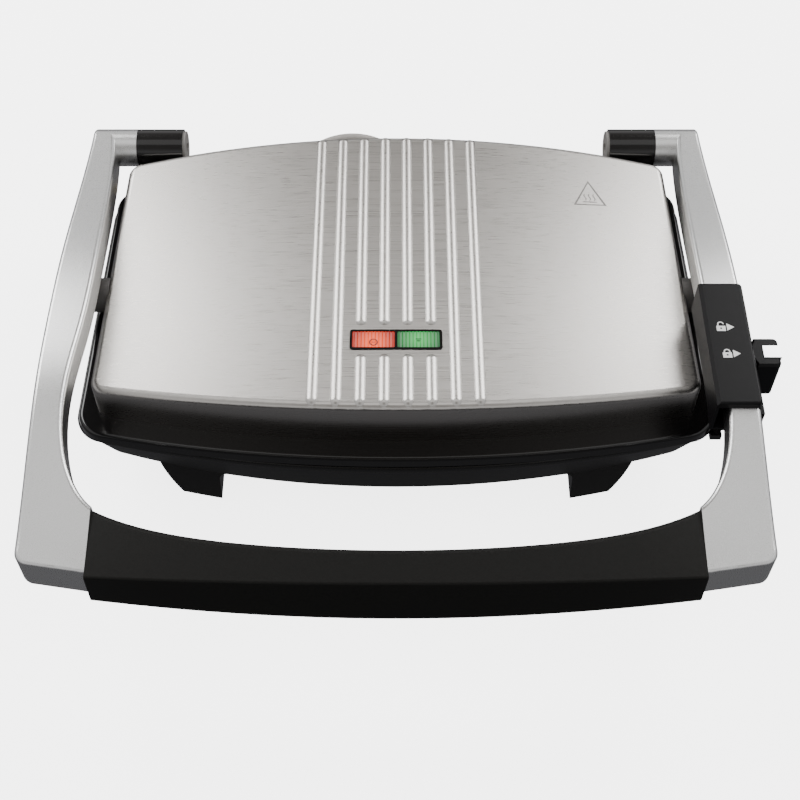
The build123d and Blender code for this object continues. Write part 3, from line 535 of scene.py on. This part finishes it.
hotMark = {
    # place in metres, the rest in millimetres; heights are from the triangle's foot
    "place": (0.111, 0.0555, 0.085), "half": 9.5, "depth": 19.0, "line": 0.75,
    "narrower": 2.2, "lower": 3.3,      # inner triangle, in widths of the line
    "wavePitch": 2.6, "waveFoot": 3.6, "waveWidth": 0.6, "waveHeight": 5.0, "waveSwing": 0.55,
    "waveSteps": 10, "barHeight": 2.5, "barWidth": 8.2, "barDepth": 0.6,
}


def triangleLoop(half, depth, low):
    return [(-half, low), (half, low), (0, low + depth)]


def waveLoop(mark, x, y):
    # one upright wavy line of heat
    steps, width, height = mark["waveSteps"], mark["waveWidth"], mark["waveHeight"]
    middle = [(x + mark["waveSwing"] * sin(2 * pi * step / steps), y + height * step / steps)
              for step in range(steps + 1)]
    left = [(px - width / 2, py) for px, py in middle]
    right = [(px + width / 2, py) for px, py in reversed(middle)]
    return left + right


def hotLoops(mark):
    half, depth, line = mark["half"], mark["depth"], mark["line"]
    low = -depth / 2
    inner = triangleLoop(half - mark["narrower"] * line, depth - mark["lower"] * line, low + line)
    loops = [triangleLoop(half, depth, low), list(reversed(inner))]
    for column in (-1, 0, 1):
        loops.append(waveLoop(mark, column * mark["wavePitch"], low + mark["waveFoot"]))
    loops.append(barLoop(0, low + mark["barHeight"], mark["barWidth"], mark["barDepth"]))
    return loops


addMark("hotSurfaceMark", hotLoops(hotMark), hotMark["place"], "lid", markGrey,
        onto=nodes["lid_cover"])
print("hot surface mark on")

ribbedLens = {"ribs": 12, "stepsPerRib": 6, "ribDepth": 0.00035}


def lensMesh(name, low, high, look):
    # a block whose top is a row of rounded ribs that run from front to back
    columns = look["ribs"] * look["stepsPerRib"]
    points = []
    faces = []
    for column in range(columns + 1):
        x = low[0] + (high[0] - low[0]) * column / columns
        share = (column % look["stepsPerRib"]) / look["stepsPerRib"]
        top = high[2] - look["ribDepth"] * (1 - sin(pi * share))
        points += [(x, low[1], low[2]), (x, high[1], low[2]), (x, high[1], top), (x, low[1], top)]
    for column in range(columns):
        here = 4 * column
        for side in range(4):
            after = (side + 1) % 4
            faces.append((here + side, here + after, here + 4 + after, here + 4 + side))
    faces.append((3, 2, 1, 0))
    faces.append(tuple(4 * columns + side for side in range(4)))
    mesh = bpy.data.meshes.new(name)
    mesh.from_pydata(points, [], faces)
    mesh.update()
    return mesh


def addLens(name, node, slot):
    low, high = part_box(node)
    lens = addObject(name, lensMesh(name, low, high, ribbedLens), "lid")
    lens.data.materials.append(finishes[slot])
    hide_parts(node)


addLens("powerLens", "power_lens", "lens_red")
addLens("readyLens", "ready_lens", "lens_green")
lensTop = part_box("power_lens")[1][2]
lensMarks = {
    # places in metres, outlines in millimetres
    "powerMark": {"place": (-0.0119, -0.0553, lensTop),
                  "loops": ringLoops(0, 0, 2.3, 1.7) + [barLoop(0, 0, 2.2, 0.5)]},
    "readyMark": {"place": (0.0119, -0.0534, lensTop),
                  "loops": [barLoop(0, 0.2, 3.0, 0.5), barLoop(0, -1.0, 2.0, 0.5)]},
}
for markName, mark in lensMarks.items():
    addMark(markName, mark["loops"], mark["place"], "lid", markDark)
print("lenses ribbed")

# studio: glowing pale floor, soft boxes, and surroundings that are white at the sides and
# darker overhead and below
studio = {
    "floorHalf": 3.0,
    "floorDrop": 0.0002,        # keeps the floor clear of the feet
    "floorColour": (0.93, 0.93, 0.93),
    "floorGlow": 4.0,
    "sideColour": (1.0, 1.0, 1.0),
    "overheadColour": (0.17, 0.15, 0.125),  # over the middle, mirrored in the lid's centre
    "belowColour": (0.15, 0.15, 0.158),
    # each change of colour, from and to: away from the middle, and twice up the sky
    "overheadReach": (0.06, 0.42),
    "overheadRise": (0.35, 0.65),
    "horizonRise": (-0.1, 0.3),
    "worldStrength": 0.95,
    # each soft box: place, what it faces, width, height and power in watts
    "boxes": {
        "leftBox": ((-1.0, 0.9, 1.1), (0, 0, 0.05), 0.9, 0.9, 18),
        "rightBox": ((1.0, 0.9, 1.1), (0, 0, 0.05), 0.9, 0.9, 18),
        "topBox": ((0, -0.2, 1.8), (0, 0, 0), 1.4, 1.0, 4),
    },
}


def addFloor(setup):
    half = setup["floorHalf"]
    data = bpy.data.meshes.new("studioFloor")
    data.from_pydata([(-half, -half, 0), (half, -half, 0), (half, half, 0), (-half, half, 0)],
                     [], [(0, 1, 2, 3)])
    floor = bpy.data.objects.new("studioFloor", data)
    floor.location.z = -setup["floorDrop"]
    bpy.context.scene.collection.objects.link(floor)
    paper = {"colour": setup["floorColour"], "roughness": 0.9, "specular": 0.1}
    material, _, shader = newFinish("floorPaper", paper)
    shader.inputs["Emission Color"].default_value = (1, 1, 1, 1)
    shader.inputs["Emission Strength"].default_value = setup["floorGlow"]
    data.materials.append(material)
    # the camera sees the floor; the grill neither mirrors it nor takes light from it
    floor.visible_glossy = False
    floor.visible_diffuse = False


def addSoftBox(name, place, target, width, height, power):
    data = bpy.data.lights.new(name, "AREA")
    data.shape = "RECTANGLE"
    data.size = width
    data.size_y = height
    data.energy = power
    box = bpy.data.objects.new(name, data)
    box.location = place
    box.rotation_euler = (Vector(target) - Vector(place)).to_track_quat("-Z", "Y").to_euler()
    bpy.context.scene.collection.objects.link(box)


def addWorld(setup):
    world = bpy.data.worlds.new("studioWorld")
    bpy.context.scene.world = world
    world.use_nodes = True
    tree = world.node_tree
    background = tree.nodes["Background"]
    place = tree.nodes.new("ShaderNodeTexCoord")
    parts = tree.nodes.new("ShaderNodeSeparateXYZ")
    tree.links.new(place.outputs["Generated"], parts.inputs["Vector"])
    side = tree.nodes.new("ShaderNodeMath")
    side.operation = "ABSOLUTE"
    tree.links.new(parts.outputs["X"], side.inputs[0])
    ramp = tree.nodes.new("ShaderNodeValToRGB")
    ramp.color_ramp.elements[0].position = setup["overheadReach"][0]
    ramp.color_ramp.elements[0].color = (*setup["overheadColour"], 1)
    ramp.color_ramp.elements[1].position = setup["overheadReach"][1]
    ramp.color_ramp.elements[1].color = (*setup["sideColour"], 1)
    tree.links.new(side.outputs["Value"], ramp.inputs["Fac"])
    lift = tree.nodes.new("ShaderNodeMapRange")
    lift.inputs["From Min"].default_value = setup["overheadRise"][0]
    lift.inputs["From Max"].default_value = setup["overheadRise"][1]
    tree.links.new(parts.outputs["Z"], lift.inputs["Value"])
    blend = tree.nodes.new("ShaderNodeMix")
    blend.data_type = "RGBA"
    blend.inputs["A"].default_value = (*setup["sideColour"], 1)
    tree.links.new(lift.outputs["Result"], blend.inputs["Factor"])
    tree.links.new(ramp.outputs["Color"], blend.inputs["B"])
    horizon = tree.nodes.new("ShaderNodeMapRange")
    horizon.inputs["From Min"].default_value = setup["horizonRise"][0]
    horizon.inputs["From Max"].default_value = setup["horizonRise"][1]
    tree.links.new(parts.outputs["Z"], horizon.inputs["Value"])
    whole = tree.nodes.new("ShaderNodeMix")
    whole.data_type = "RGBA"
    whole.inputs["A"].default_value = (*setup["belowColour"], 1)
    tree.links.new(horizon.outputs["Result"], whole.inputs["Factor"])
    tree.links.new(blend.outputs["Result"], whole.inputs["B"])
    tree.links.new(whole.outputs["Result"], background.inputs["Color"])
    background.inputs["Strength"].default_value = setup["worldStrength"]


addFloor(studio)
for boxName, values in studio["boxes"].items():
    addSoftBox(boxName, *values)
addWorld(studio)
print("studio lit")
